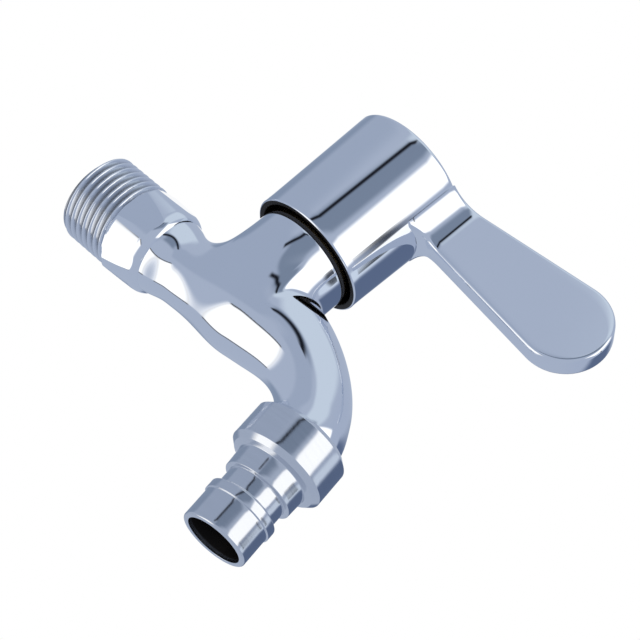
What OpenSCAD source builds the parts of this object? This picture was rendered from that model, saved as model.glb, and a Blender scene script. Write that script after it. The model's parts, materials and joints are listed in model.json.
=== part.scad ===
// Wall-mounted quarter-turn tap with a bell handle, a lever and a hose nozzle.
// Millimetres. The origin is on the inlet axis, at the wall side of the hexagon. +X leaves the wall, +Z is up.

/* [Inlet] */
// Crest diameter of the inlet thread
thread_d = 20.95; // [19:0.05:23]
// Length of the inlet thread
thread_length = 13; // [9:0.5:20]
// Bore through the inlet thread
inlet_bore_d = 14; // [11:0.5:14.5]
// Width across the flats of the spanner hexagon
hex_af = 20.4; // [20:0.1:22]
// Diameter to which the hexagon's corners are turned down
hex_corner_d = 22; // [21.6:0.1:23.2]
// Length of the spanner hexagon, with its round shoulder
hex_length = 11; // [8:0.2:16]

/* [Cast body] */
// Distance of the valve axis from the wall
valve_x = 31.5; // [29:0.5:45]
// Diameter of the boss that holds the headwork
boss_d = 24.6; // [24.2:0.1:30]
// Height of the boss face above the inlet axis
boss_top = 19.5; // [18.5:0.5:26]
// Diameter at the narrow neck behind the hexagon
neck_d = 16; // [15:0.2:18]
// Diameter at the full belly under the valve
belly_d = 20.9; // [20:0.1:23]
// Lift of the centre line's steering point under the valve
line_lift = 8.5; // [7:0.5:10]
// Diameter at the narrowest place of the spout
waist_d = 15.9; // [15:0.1:16.6]
// Diameter of the spout where it enters the nozzle collar
spout_end_d = 17; // [16.4:0.2:17.6]
// Diameter of the water passages in the casting
passage_d = 9; // [7:0.5:9.5]

/* [Nozzle] */
// Distance of the nozzle tip from the wall
tip_x = 67.3; // [63:0.5:85]
// Drop of the nozzle tip below the inlet axis
tip_drop = 39.2; // [38:0.5:60]
// Forward lean of the nozzle from straight down, in degrees
nozzle_lean = 8; // [0:1:15]
// Overall length of the nozzle
nozzle_length = 28.5; // [26:0.5:34]
// Diameter of the collar
collar_d = 22; // [21.6:0.2:26]
// Length of the collar
collar_length = 9.1; // [8:0.1:11]
// Diameter of the hose end
hose_d = 15.2; // [14.4:0.1:15.7]
// Diameter of the two ribs that hold the hose
rib_d = 15.9; // [15.8:0.1:18]
// Diameter of the groove between the ribs
groove_d = 13.7; // [13.2:0.1:14.2]
// Bore of the nozzle
nozzle_bore_d = 11.6; // [9:0.2:12]
// Bore at the tip, where the rim is thinned
mouth_d = 12.7; // [12.2:0.1:13.2]
// Diameter of the thread on the spout end
spigot_d = 18; // [17.6:0.1:19]

/* [Handle] */
// Diameter of the bell at its open rim
bell_rim_d = 29.3; // [28.6:0.1:34]
// Diameter of the bell at its closed top
bell_top_d = 30.9; // [30:0.1:36]
// Height of the bell
bell_height = 31.4; // [30:0.5:36]
// Gap between the boss face and the bell rim
rim_gap = 1.1; // [0.8:0.1:1.2]
// Wall of the bell
bell_wall = 1.5; // [1:0.1:1.6]
// Reach of the lever's round end from the valve axis
lever_reach = 62; // [50:0.2:80]
// Radius of the lever's round end
lever_end_r = 10.3; // [8:0.1:13]
// Thickness of the lever
lever_t = 5.2; // [4:0.2:7]
// Rounding of the lever's edges
lever_edge = 0.9; // [0.4:0.1:1.4]
// Radius of the fillets beside the lever where it leaves the bell
side_fillet = 9; // [5:0.5:12]
// Radius of the fillet under the lever where it leaves the bell
root_fillet = 3; // [1:0.5:4]
// Diameter of the plug that hides the handle screw
plug_d = 13; // [12:0.5:16]

/* [Headwork] */
// Crest diameter of the headwork thread
head_thread_d = 20.9; // [20.4:0.1:21]
// Bore for the ceramic discs
disc_bore_d = 15.6; // [15:0.1:16]
// Thickness of each ceramic disc
disc_t = 2.8; // [2.4:0.1:3.2]
// Diameter of the port ring in the seat
seat_port_d = 8; // [6:0.5:9]
// Thickness of the flange gasket
gasket_t = 0.8; // [0.5:0.1:1]
// Thickness of the headwork flange
flange_t = 2; // [1.6:0.1:2.6]
// Width across the flats of the headwork hexagon
head_hex_af = 19; // [18:0.5:20]
// Height of the headwork hexagon
head_hex_h = 4.5; // [3:0.5:5]
// Diameter of the headwork's turret
turret_d = 14; // [13:0.2:15]
// Diameter of the spindle
spindle_d = 9; // [8:0.1:9.6]
// Diameter of the spindle's toothed end
spline_d = 7.8; // [7:0.1:8]
// Length of the spindle's toothed end
spline_length = 8.5; // [7:0.5:10]
// Number of teeth on the spindle
spline_teeth = 20; // [16:1:24]
// Thread diameter of the handle screw
screw_d = 4; // [3.5:0.1:4.5]
// Length of the handle screw below its head
screw_length = 10; // [8:1:11]

/* [Fits] */
// Radial clearance of turning pieces
running_fit = 0.05; // [0.02:0.01:0.09]
// Clearance of seated pieces
seat_fit = 0.04; // [0.02:0.01:0.08]

/* [Hidden] */

// Finishes
chrome_tint = [0.78, 0.81, 0.88];
turned_tint = [0.74, 0.76, 0.80];
brass_tint = [0.80, 0.66, 0.36];
rubber_tint = [0.10, 0.10, 0.11];
ceramic_tint = [0.93, 0.92, 0.88];
polymer_tint = [0.86, 0.87, 0.86];
steel_tint = [0.62, 0.64, 0.66];

// Inlet and hexagon
thread_chamfer = 0.6;
hex_corner_r = hex_corner_d / 2;
hex_taper = 0.6;
shoulder_d = 18.6;
shoulder_round = 3;
shoulder_drop = 2;

// Nozzle axis: it leans forward, and heights along it are counted from the tip
axis_out = [sin(nozzle_lean), 0, -cos(nozzle_lean)];
tip_at = [tip_x, 0, -tip_drop];
function on_nozzle(height) = tip_at - height * axis_out;
collar_base = nozzle_length - collar_length;
groove_top = collar_base - 5.9;
groove_bottom = groove_top - 4.3;
rib_height = 2.2;
collar_chamfer = 1.1;
spigot_depth = 6.5;
nozzle_washer_t = 1.6;
spigot_end = nozzle_length - spigot_depth;
washer_floor = spigot_end - nozzle_washer_t - 2 * seat_fit;

// Centre line of the casting: one smooth curve steered by six points
barrel_start = hex_length - 2.5;
spout_overlap = 1;
line_points = [
    [barrel_start, 0, 0],
    [barrel_start + 13, 0, 0],
    [valve_x + 5.4, 0, -0.5],
    [valve_x + 2.3, 0, line_lift],
    on_nozzle(nozzle_length + 14),
    on_nozzle(nozzle_length - spout_overlap)
];

// Shares of the centre line at which the casting is narrowest, fullest and narrow again
neck_share = 0.138;
belly_share = 0.45;
waist_share = 0.92;

// Skin of the casting: rings along the centre line, with a patch left out for the boss
ring_sides = 40;
ring_count = 38;
patch_first = 6;
patch_last = 23;
patch_half = 10;
boss_rows = 8;

// Shares of the centre line at which the patch ends, on top of the tube and beside it
wall_top_share = 0.09;
wall_side_share = 0.19;
front_top_share = 0.625;
front_side_share = 0.54;
boss_skin_top = boss_top - 2;

// Fullness of the blend round the boss: beside it, in front of it and on the wall side
side_blend = 0.75;
front_blend = 0.9;
wall_blend = 0.95;

// Headwork levels above the inlet axis
seat_z = 6.3;
seal_h = 2.4;
seal_wall = 2.1;
seal_inner_d = disc_bore_d - 2 * seal_wall;
backing_wall = 1.16;
fixed_disc_z = seat_z + seal_h;
turning_disc_z = fixed_disc_z + disc_t + 0.02;
driver_z = turning_disc_z + disc_t + 0.02;
driver_h = 2.2;
driver_d = disc_bore_d - 1;
slip_t = 0.6;
slip_z = driver_z + driver_h + seat_fit;
shoulder_z = slip_z + slip_t + seat_fit;
gasket_z = boss_top;
flange_z = gasket_z + gasket_t;
head_hex_z = flange_z + flange_t;
turret_z = head_hex_z + head_hex_h;
turret_h = 5.2;
turret_top = turret_z + turret_h;
clip_t = 0.8;
clip_z = turret_top + seat_fit;
spline_z = clip_z + clip_t + 0.8;
spindle_top = spline_z + spline_length;
o_ring_d = 1.3;
groove_depth = 1;
upper_ring_z = turret_top - 3.2;
lower_ring_z = upper_ring_z - 3.4;
flange_d = boss_d - 0.8;
chamber_d = head_thread_d - 1.9;
head_thread_length = 9;
window_h = 3.6;
window_w = 8;

// Handle levels above the inlet axis
rim_z = boss_top + rim_gap;
bell_top = rim_z + bell_height;
insert_d = spline_d + 4;
insert_z = spline_z + 0.3;
hub_d = insert_d + 4.4;
hub_z = insert_z;
hub_roof = spindle_top + seat_fit;
hub_floor_t = 1.6;
screw_seat = hub_roof + hub_floor_t;
cavity_top = bell_top - 5.5;
lock_washer_t = 1;
screw_head_d = 8;
screw_head_h = 2.4;
plug_h = 3.4;
plug_z = bell_top - plug_h + 0.6;
rib_t = 1.6;

// Lever outline: two straight edges and a round end, with fillets at the bell
lever_end = [valve_x + lever_reach - lever_end_r, bell_top - 7.1];
upper_lean = 4.3;
lower_lean = 8.4;
fillet_y = lever_t / 2 + side_fillet;
fillet_stations = 7;
plain_stations = 3;
fillet_sink = 0.12;
root_sink = 2.5;
lever_end_steps = 9;
edge_steps = 3;
slice = 64;
fine = 96;

function mix(a, b, t) = a + (b - a) * t;
function ease(t) = let (c = max(0, min(1, t))) c * c * c * (c * (6 * c - 15) + 10);
function bezier(a, b, c, d, t) =
    (1 - t) * (1 - t) * (1 - t) * a + 3 * (1 - t) * (1 - t) * t * b
    + 3 * (1 - t) * t * t * c + t * t * t * d;
function steered(points, t) = len(points) == 1 ? points[0]
    : steered([for (k = [0:len(points) - 2]) mix(points[k], points[k + 1], t)], t);
function unit(v) = v / norm(v);

// Centre of the casting at a share u of the line, from 0 in the hexagon to 1 in the nozzle
function line_at(u) = steered(line_points, u);
function direction_at(u) = unit(line_at(u + 0.001) - line_at(u - 0.001));
function radius_at(u) = u < neck_share ? mix(shoulder_d, neck_d, ease(u / neck_share)) / 2
    : u < belly_share ? mix(neck_d, belly_d, ease((u - neck_share) / (belly_share - neck_share))) / 2
    : u < waist_share ? mix(belly_d, waist_d, ease((u - belly_share) / (waist_share - belly_share))) / 2
    : mix(waist_d, spout_end_d, ease((u - waist_share) / (1 - waist_share))) / 2;

// A point of a tube round the centre line, at angle a from its upper side
function round_point(u, a, r) =
    let (d = direction_at(u), up = [-d[2], 0, d[0]])
    line_at(u) + r * (cos(a) * up + sin(a) * [0, 1, 0]);
function skin_point(u, a) = round_point(u, a, radius_at(u));
function ring_angle(j) = let (k = (j + ring_sides / 2) % ring_sides - ring_sides / 2) 360 * k / ring_sides;

// Share of the centre line at a mesh ring: the rings bend so that two of them follow the patch border
function ring_share(i, a) =
    let (lift = max(0, cos(a)), wall = mix(wall_side_share, wall_top_share, lift),
        front = mix(front_side_share, front_top_share, lift))
    i <= patch_first ? wall * i / patch_first
    : i <= patch_last ? mix(wall, front, (i - patch_first) / (patch_last - patch_first))
    : mix(front, 1, (i - patch_last) / (ring_count - patch_last));

// Outward direction of the skin, from two short steps along it
function skin_normal(u, a) = unit(cross(
    skin_point(u, a + 1) - skin_point(u, a - 1),
    skin_point(u + 0.004, a) - skin_point(u - 0.004, a)));

// The patch border, in order round the boss: [ring, side] pairs
border = concat(
    [for (j = [-patch_half:1:patch_half - 1]) [patch_first, j]],
    [for (i = [patch_first:1:patch_last - 1]) [i, patch_half]],
    [for (j = [patch_half:-1:1 - patch_half]) [patch_last, j]],
    [for (i = [patch_last:-1:patch_first + 1]) [i, -patch_half]]);

// A cubic curve from the border up to the boss, tangent to the skin and to the boss wall. Its two inner
// points lie near the corner where the skin's tangent reaches the wall, or near the middle of a steep curve.
function boss_point(ij, t) =
    let (a = ring_angle(ij[1]), u = ring_share(ij[0], a), low = skin_point(u, a), out = skin_normal(u, a),
        turn = atan2(low[1], low[0] - valve_x),
        high = [valve_x + boss_d / 2 * cos(turn), boss_d / 2 * sin(turn), boss_skin_top],
        way = high - low, flat = unit(way - (way * out) * out),
        to_corner = norm([way[0], way[1]]) / max(0.02, norm([flat[0], flat[1]])),
        to_middle = 0.45 * norm(way),
        reach = pow(pow(to_corner, -4) + pow(to_middle, -4), -1 / 4),
        share = mix(mix(side_blend, front_blend, ease(cos(turn))), wall_blend, ease(-cos(turn))),
        drop = share * (way[2] - reach * flat[2]))
    bezier(low, low + share * reach * flat, high - [0, 0, drop], high, t);

// Faces of a mesh made of rows of points, each row a loop of the same count
function loop_faces(rows, count, end_cap = true) = concat(
    [for (r = [0:rows - 2], k = [0:count - 1]) each
        let (a = r * count + k, b = r * count + (k + 1) % count)
        [[a, b, a + count], [b, b + count, a + count]]],
    [[for (k = [count - 1:-1:0]) k]],
    end_cap ? [[for (k = [0:count - 1]) (rows - 1) * count + k]] : []);

// The cast skin: tube rings without the patch, and the blend rows that replace it
module cast_skin() {
    tube = [for (i = [0:ring_count], j = [0:ring_sides - 1]) let (a = ring_angle(j))
        skin_point(ring_share(i, a), a)];
    first = len(tube);
    columns = len(border);
    rise = [for (k = [1:boss_rows], ij = border) boss_point(ij, k / boss_rows)];
    rim = [for (ij = border) let (p = boss_point(ij, 1)) [p[0], p[1], boss_top]];
    function tube_index(i, j) = i * ring_sides + (j + ring_sides) % ring_sides;
    function row_index(k, c) = k == 0
        ? tube_index(border[c % columns][0], border[c % columns][1])
        : first + (k - 1) * columns + c % columns;
    function in_patch(i, j) =
        let (s = (j + ring_sides / 2) % ring_sides - ring_sides / 2)
        i >= patch_first && i < patch_last && s >= -patch_half && s < patch_half;
    faces = concat(
        [for (i = [0:ring_count - 1], j = [0:ring_sides - 1]) if (!in_patch(i, j)) each
            [[tube_index(i, j), tube_index(i, j + 1), tube_index(i + 1, j)],
             [tube_index(i, j + 1), tube_index(i + 1, j + 1), tube_index(i + 1, j)]]],
        [for (k = [0:boss_rows], c = [0:columns - 1]) each
            [[row_index(k, c), row_index(k, c + 1), row_index(k + 1, c)],
             [row_index(k, c + 1), row_index(k + 1, c + 1), row_index(k + 1, c)]]],
        [[for (c = [0:columns - 1]) row_index(boss_rows + 1, c)]],
        [[for (j = [ring_sides - 1:-1:0]) tube_index(0, j)]],
        [[for (j = [0:ring_sides - 1]) tube_index(ring_count, j)]]);
    polyhedron(points = concat(tube, rise, rim), faces = faces, convexity = 8);
}

// Water passage from the headwork chamber along the spout
module spout_passage() {
    sides = 16;
    steps = 10;
    from = [valve_x + 4, 0, seat_z + 3.4];
    middle = line_at(0.72);
    end = on_nozzle(spigot_end - 1);
    function core_at(t) = bezier(from, from + [8, 0, -0.5], middle + [6, 0, 0], end - 13 * axis_out, t);
    points = [for (k = [0:steps], j = [0:sides - 1])
        let (t = k / steps, p = core_at(t), d = unit(core_at(t + 0.01) - core_at(t - 0.01)),
            up = [-d[2], 0, d[0]], a = 360 * j / sides)
        p + passage_d / 2 * (cos(a) * up + sin(a) * [0, 1, 0])];
    polyhedron(points = points, faces = loop_faces(steps + 1, sides), convexity = 4);
}

// Turn a shape drawn on +Z so that it points along the nozzle, from the tip upwards
module on_nozzle_axis(height = 0) {
    translate(on_nozzle(height)) rotate([0, -nozzle_lean, 0]) children();
}

module along_x(x = 0) {
    translate([x, 0, 0]) rotate([0, 90, 0]) children();
}

// Spanner hexagon with its round shoulder, corners at top and bottom
module hexagon_section() {
    intersection() {
        along_x() linear_extrude(hex_length) circle(d = hex_af / cos(30), $fn = 6);
        along_x() rotate_extrude($fn = fine)
            polygon(concat(
                [[0, 0], [thread_d / 2 - 0.1, 0], [hex_corner_r, 0.7]],
                [for (a = [0:10:80])
                    [hex_corner_r - hex_taper - shoulder_drop * (1 - cos(a)),
                        hex_length - shoulder_round * (1 - sin(a))]],
                [[0, hex_length]]));
    }
}

module body() {
    color(chrome_tint) difference() {
        union() {
            along_x() rotate_extrude($fn = fine)
                polygon([[0, -thread_length], [thread_d / 2 - thread_chamfer, -thread_length],
                    [thread_d / 2, thread_chamfer - thread_length], [thread_d / 2, 0.4], [0, 0.4]]);
            hexagon_section();
            cast_skin();
            on_nozzle_axis(spigot_end) cylinder(d = spigot_d, h = spigot_depth, $fn = fine);
        }
        along_x(-thread_length - 1)
            cylinder(d = inlet_bore_d, h = thread_length + hex_length - 4, $fn = slice);
        along_x() cylinder(d = passage_d + 1, h = valve_x + 4, $fn = slice);
        translate([valve_x, 0, 0]) cylinder(d = seat_port_d, h = seat_z + 1, $fn = slice);
        translate([valve_x, 0, seat_z]) cylinder(d = chamber_d, h = boss_top, $fn = slice);
        translate([valve_x, 0, boss_top - head_thread_length - 0.6])
            cylinder(d = head_thread_d + 2 * seat_fit, h = head_thread_length + 2, $fn = slice);
        spout_passage();
        on_nozzle_axis(spigot_end - 1) cylinder(d = nozzle_bore_d, h = spigot_depth + 3, $fn = slice);
    }
}

module headwork_housing() {
    bottom = seat_z + 0.5;
    color(brass_tint) difference() {
        union() {
            translate([valve_x, 0, bottom])
                cylinder(d = chamber_d - 0.6, h = gasket_z - bottom, $fn = slice);
            translate([valve_x, 0, gasket_z - head_thread_length])
                cylinder(d = head_thread_d, h = head_thread_length, $fn = slice);
            translate([valve_x, 0, gasket_z - 1])
                cylinder(d = head_thread_d - 2, h = gasket_t + 1.5, $fn = slice);
            translate([valve_x, 0, flange_z]) cylinder(d = flange_d, h = flange_t, $fn = slice);
            translate([valve_x, 0, head_hex_z - 0.1])
                cylinder(d = head_hex_af / cos(30), h = head_hex_h + 0.1, $fn = 6);
            translate([valve_x, 0, turret_z - 0.1]) cylinder(d = turret_d, h = turret_h + 0.1, $fn = slice);
        }
        translate([valve_x, 0, bottom - 1])
            cylinder(d = disc_bore_d, h = shoulder_z - bottom + 1, $fn = slice);
        translate([valve_x, 0, bottom])
            cylinder(d = spindle_d + 2 * running_fit, h = turret_top, $fn = slice);
        for (side = [-1, 1])
            translate([valve_x - window_w / 2, side * disc_bore_d / 2 - 3, turning_disc_z - 0.4])
                cube([window_w, 6, window_h]);
    }
}

module ring_between(inner, outer, low, height, tint) {
    color(tint) translate([valve_x, 0, low]) difference() {
        cylinder(d = outer, h = height, $fn = slice);
        translate([0, 0, -1]) cylinder(d = inner, h = height + 2, $fn = slice);
    }
}

module housing_gasket() {
    ring_between(head_thread_d - 2 + 2 * seat_fit, flange_d, gasket_z, gasket_t, rubber_tint);
}

module spindle() {
    color(brass_tint) difference() {
        union() {
            translate([valve_x, 0, driver_z]) cylinder(d = driver_d, h = driver_h, $fn = slice);
            translate([valve_x, 0, driver_z + 0.5])
                cylinder(d = spindle_d, h = spline_z - driver_z - 0.5, $fn = slice);
            translate([valve_x, 0, spline_z - 0.1]) linear_extrude(spline_length + 0.1)
                polygon([for (k = [0:4 * spline_teeth - 1])
                    let (a = 90 * k / spline_teeth, r = spline_d / 2 - ((k % 4) < 2 ? 0 : 0.45))
                    [r * cos(a), r * sin(a)]]);
            // Two lugs that turn the upper disc
            for (side = [-1, 1])
                translate([valve_x + side * disc_bore_d / 4 - 1, -1.5, driver_z - 1])
                    cube([2, 3, 1.2]);
        }
        for (level = [upper_ring_z, lower_ring_z])
            translate([valve_x, 0, level]) difference() {
                cylinder(d = spindle_d + 1, h = o_ring_d + 0.2, $fn = slice);
                translate([0, 0, -1])
                    cylinder(d = spindle_d - 2 * groove_depth, h = o_ring_d + 3, $fn = slice);
            }
        translate([valve_x, 0, clip_z - seat_fit]) difference() {
            cylinder(d = spindle_d + 1, h = clip_t + 2 * seat_fit, $fn = slice);
            translate([0, 0, -1]) cylinder(d = spindle_d - 1.4, h = clip_t + 3, $fn = slice);
        }
        translate([valve_x, 0, spindle_top - screw_length + 1])
            cylinder(d = screw_d + 2 * seat_fit, h = screw_length + 1, $fn = slice);
    }
}

module spindle_o_ring(level) {
    inside = spindle_d / 2 - groove_depth + seat_fit;
    outside = spindle_d / 2 - 0.01;
    color(rubber_tint) translate([valve_x, 0, level + 0.1]) rotate_extrude($fn = slice)
        translate([(inside + outside) / 2, o_ring_d / 2])
            intersection() {
                circle(d = o_ring_d, $fn = 24);
                square([outside - inside, o_ring_d], center = true);
            }
}

module upper_spindle_o_ring() {
    spindle_o_ring(upper_ring_z);
}

module lower_spindle_o_ring() {
    spindle_o_ring(lower_ring_z);
}

module slip_washer() {
    ring_between(spindle_d + 4 * running_fit, disc_bore_d - 2 * running_fit, slip_z, slip_t, polymer_tint);
}

module spindle_clip() {
    inner = spindle_d - 1.4 + 2 * seat_fit;
    color(steel_tint) translate([valve_x, 0, clip_z]) difference() {
        cylinder(d = spindle_d + 3, h = clip_t, $fn = slice);
        translate([0, 0, -1]) cylinder(d = inner, h = clip_t + 2, $fn = slice);
        translate([-inner * 0.35, 0, -1]) cube([inner * 0.7, spindle_d, clip_t + 2]);
    }
}

// A ceramic disc with two quarter ports
module port_disc(low, outer, turned) {
    color(ceramic_tint) translate([valve_x, 0, low]) rotate([0, 0, turned]) difference() {
        cylinder(d = outer, h = disc_t, $fn = slice);
        for (side = [0, 180]) rotate([0, 0, side - 40]) translate([0, 0, -1])
            rotate_extrude(angle = 80, $fn = slice)
                translate([1.4, 0]) square([outer / 2 - 2.9, disc_t + 2]);
    }
}

module rotating_disc() {
    difference() {
        port_disc(turning_disc_z, disc_bore_d - 4 * running_fit, 90);
        for (side = [-1, 1])
            translate([valve_x + side * disc_bore_d / 4 - 1.1, -1.6, driver_z - 1.1])
                cube([2.2, 3.2, 2]);
    }
}

module fixed_disc() {
    port_disc(fixed_disc_z, disc_bore_d - 2 * seat_fit, 0);
}

module seat_seal() {
    ring_between(seal_inner_d, disc_bore_d - 2 * seat_fit, seat_z, seal_h, rubber_tint);
}

module seal_backing_ring() {
    ring_between(seal_inner_d - 2 * seat_fit - 2 * backing_wall, seal_inner_d - 2 * seat_fit,
        seat_z + 0.3, seal_h - 0.6, polymer_tint);
}

// Radius of the bell at a height, and where the side fillet of the lever ends at that height
function bell_r(z) = mix(bell_rim_d, bell_top_d, (z - rim_z) / bell_height) / 2;
function fillet_reach(z) = let (to_centre = bell_r(z) + side_fillet - fillet_sink)
    sqrt(to_centre * to_centre - fillet_y * fillet_y);

// Edge stations from the root to the end: [x, z, direction of the edge's outside, half thickness]
function straight_z(x, side, lean) = lever_end[1] + side * (lever_end_r * cos(lean)
    - (lever_end[0] - lever_end_r * sin(lean) - x) * tan(lean));
function under_fillet(x, y, z, side) = side > 0 ? 0
    : let (gap = norm([x - valve_x, y]) - bell_r(z),
        into = max(0, min(0.98 * root_fillet, root_fillet - gap)))
      root_fillet - sqrt(root_fillet * root_fillet - into * into);
function fillet_station(k, side, lean) =
    let (height = straight_z(valve_x + bell_top_d / 2, side, lean), reach = fillet_reach(height),
        turn = atan2(reach, fillet_y) * (1 - k / fillet_stations),
        x = valve_x + reach - side_fillet * sin(turn), half = fillet_y - side_fillet * cos(turn))
    [x, straight_z(x, side, lean) - under_fillet(x, half, height, side), side * (90 + lean), half];
function plain_station(k, side, lean) =
    let (from = valve_x + fillet_reach(straight_z(valve_x + bell_top_d / 2, side, lean)),
        x = mix(from, lever_end[0] - lever_end_r * sin(lean), k / plain_stations))
    [x, straight_z(x, side, lean), side * (90 + lean), lever_t / 2];
function root_station(side, lean) = let (p = fillet_station(0, side, lean))
    [p[0] - root_sink, p[1], p[2], p[3] - root_sink];
end_middle = (upper_lean - lower_lean) / 2;
function end_station(a) =
    [lever_end[0] + lever_end_r * cos(a), lever_end[1] + lever_end_r * sin(a), a, lever_t / 2];
function lever_edge_line(side, lean) = concat([root_station(side, lean)],
    [for (k = [0:fillet_stations - 1]) fillet_station(k, side, lean)],
    [for (k = [0:plain_stations - 1]) plain_station(k, side, lean)],
    [for (k = [0:lever_end_steps - 1]) end_station(mix(side * (90 + lean), end_middle, k / lever_end_steps))],
    [end_station(end_middle)]);
upper_edge = lever_edge_line(1, upper_lean);
lower_edge = lever_edge_line(-1, lower_lean);

// A rounded edge: the outline moves in as the surface turns to the flat side
function edge_point(p, a, side) =
    let (inset = lever_edge * (1 - cos(a)), rise = p[3] - lever_edge + lever_edge * sin(a))
    [p[0] - inset * cos(p[2]), side * rise, p[1] - inset * sin(p[2])];
function lever_ring(k) = concat(
    [for (s = [0:edge_steps]) edge_point(upper_edge[k], 90 * s / edge_steps, 1)],
    [for (s = [edge_steps:-1:0]) edge_point(lower_edge[k], 90 * s / edge_steps, 1)],
    [for (s = [0:edge_steps]) edge_point(lower_edge[k], 90 * s / edge_steps, -1)],
    [for (s = [edge_steps:-1:0]) edge_point(upper_edge[k], 90 * s / edge_steps, -1)]);

// The last ring closes on itself, because both edges meet in the middle of the round end
module lever() {
    rows = len(upper_edge);
    points = [for (k = [0:rows - 1]) each lever_ring(k)];
    polyhedron(points = points, faces = loop_faces(rows, 4 * (edge_steps + 1), false), convexity = 4);
}

module handle() {
    rim_r = bell_rim_d / 2;
    top_r = bell_top_d / 2;
    color(chrome_tint) difference() {
        union() {
            difference() {
                union() {
                    translate([valve_x, 0, 0]) rotate_extrude($fn = fine)
                        polygon(concat([[0, rim_z], [rim_r - 0.5, rim_z], [rim_r, rim_z + 0.5]],
                            [for (a = [0:15:90])
                                [top_r - 1 + cos(a), bell_top - 1 + sin(a)]],
                            [[0, bell_top]]));
                    lever();
                }
                translate([valve_x, 0, rim_z - 1]) cylinder(r1 = rim_r - bell_wall,
                    r2 = top_r - bell_wall, h = cavity_top - rim_z + 1, $fn = slice);
            }
            translate([valve_x, 0, hub_z]) cylinder(d = hub_d, h = cavity_top - hub_z + 1, $fn = slice);
            for (turn = [45:90:315]) translate([valve_x, 0, 0]) rotate([0, 0, turn])
                translate([hub_d / 2 - 0.5, -rib_t / 2, hub_z + 4])
                    cube([top_r - bell_wall - hub_d / 2 + 0.8, rib_t, cavity_top - hub_z - 3]);
        }
        translate([valve_x, 0, hub_z - 1])
            cylinder(d = insert_d + 2 * seat_fit, h = hub_roof - hub_z + 1, $fn = slice);
        translate([valve_x, 0, hub_roof - 1]) cylinder(d = screw_d + 0.6, h = 6, $fn = slice);
        translate([valve_x, 0, screw_seat]) cylinder(d = screw_head_d + 1.4, h = 20, $fn = slice);
        translate([valve_x, 0, plug_z]) cylinder(d = plug_d + 2 * seat_fit, h = 20, $fn = slice);
    }
}

module spline_insert() {
    color(polymer_tint) translate([valve_x, 0, insert_z]) difference() {
        cylinder(d = insert_d, h = hub_roof - insert_z - seat_fit, $fn = slice);
        translate([0, 0, -1]) cylinder(d = spline_d + 2 * seat_fit, h = spline_length + 4, $fn = slice);
    }
}

module handle_screw() {
    head_z = screw_seat + lock_washer_t + seat_fit;
    color(steel_tint) difference() {
        union() {
            translate([valve_x, 0, head_z]) cylinder(d = screw_head_d, h = screw_head_h, $fn = slice);
            translate([valve_x, 0, head_z - screw_length])
                cylinder(d = screw_d, h = screw_length + 0.1, $fn = slice);
        }
        for (turn = [0, 90]) translate([valve_x, 0, head_z + screw_head_h - 1.4]) rotate([0, 0, turn])
            translate([-2.2, -0.45, 0]) cube([4.4, 0.9, 2]);
    }
}

module lock_washer() {
    inner = screw_d + 0.4;
    color(steel_tint) translate([valve_x, 0, screw_seat + seat_fit / 2]) difference() {
        cylinder(d = screw_d + 3.2, h = lock_washer_t - seat_fit / 2, $fn = slice);
        translate([0, 0, -1]) cylinder(d = inner, h = lock_washer_t + 2, $fn = slice);
        rotate([0, 0, 20]) translate([0, -0.3, -1]) cube([screw_d * 2, 0.6, lock_washer_t + 2]);
    }
}

module handle_plug() {
    color(chrome_tint) translate([valve_x, 0, plug_z + seat_fit]) rotate_extrude($fn = fine)
        polygon([[0, 1.4], [plug_d / 2 - 1.2, 1.4], [plug_d / 2 - 1.2, 0], [plug_d / 2, 0],
            [plug_d / 2, plug_h - 0.9], [plug_d / 2 - 0.5, plug_h - 0.5], [0, plug_h]]);
}

module hose_nozzle() {
    neck = groove_d / 2;
    rib = rib_d / 2;
    hose = hose_d / 2;
    collar = collar_d / 2;
    color(turned_tint) on_nozzle_axis() difference() {
        rotate_extrude($fn = fine)
            polygon([[0, 0], [hose - 0.35, 0], [hose, 0.5], [hose, groove_bottom - rib_height],
                [rib, groove_bottom - rib_height + 0.2], [rib, groove_bottom - 0.3], [rib - 0.4, groove_bottom],
                [neck, groove_bottom + 0.5], [neck, groove_top], [rib - 0.2, groove_top],
                [rib, groove_top + 0.3], [rib + 0.25, collar_base - 1.2], [collar - 1.2, collar_base - 0.9],
                [collar, collar_base + 0.2], [collar, nozzle_length - collar_chamfer],
                [collar - collar_chamfer, nozzle_length], [0, nozzle_length]]);
        translate([0, 0, -1]) cylinder(d = nozzle_bore_d, h = nozzle_length + 2, $fn = slice);
        translate([0, 0, -1]) cylinder(d = mouth_d, h = 4, $fn = slice);
        translate([0, 0, washer_floor]) cylinder(d = spigot_d + 2 * seat_fit, h = nozzle_length, $fn = slice);
    }
}

module nozzle_washer() {
    color(rubber_tint) on_nozzle_axis(washer_floor + seat_fit) difference() {
        cylinder(d = spigot_d - 0.4, h = nozzle_washer_t, $fn = slice);
        translate([0, 0, -1]) cylinder(d = nozzle_bore_d + 0.6, h = nozzle_washer_t + 2, $fn = slice);
    }
}

body();
headwork_housing();
housing_gasket();
spindle();
upper_spindle_o_ring();
lower_spindle_o_ring();
slip_washer();
spindle_clip();
rotating_disc();
fixed_disc();
seat_seal();
seal_backing_ring();
handle();
spline_insert();
handle_screw();
lock_washer();
handle_plug();
hose_nozzle();
nozzle_washer();
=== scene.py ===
import json
import math

import bpy
import numpy as np
from bpy.props import FloatProperty, FloatVectorProperty, IntProperty, PointerProperty
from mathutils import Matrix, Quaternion, Vector


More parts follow.
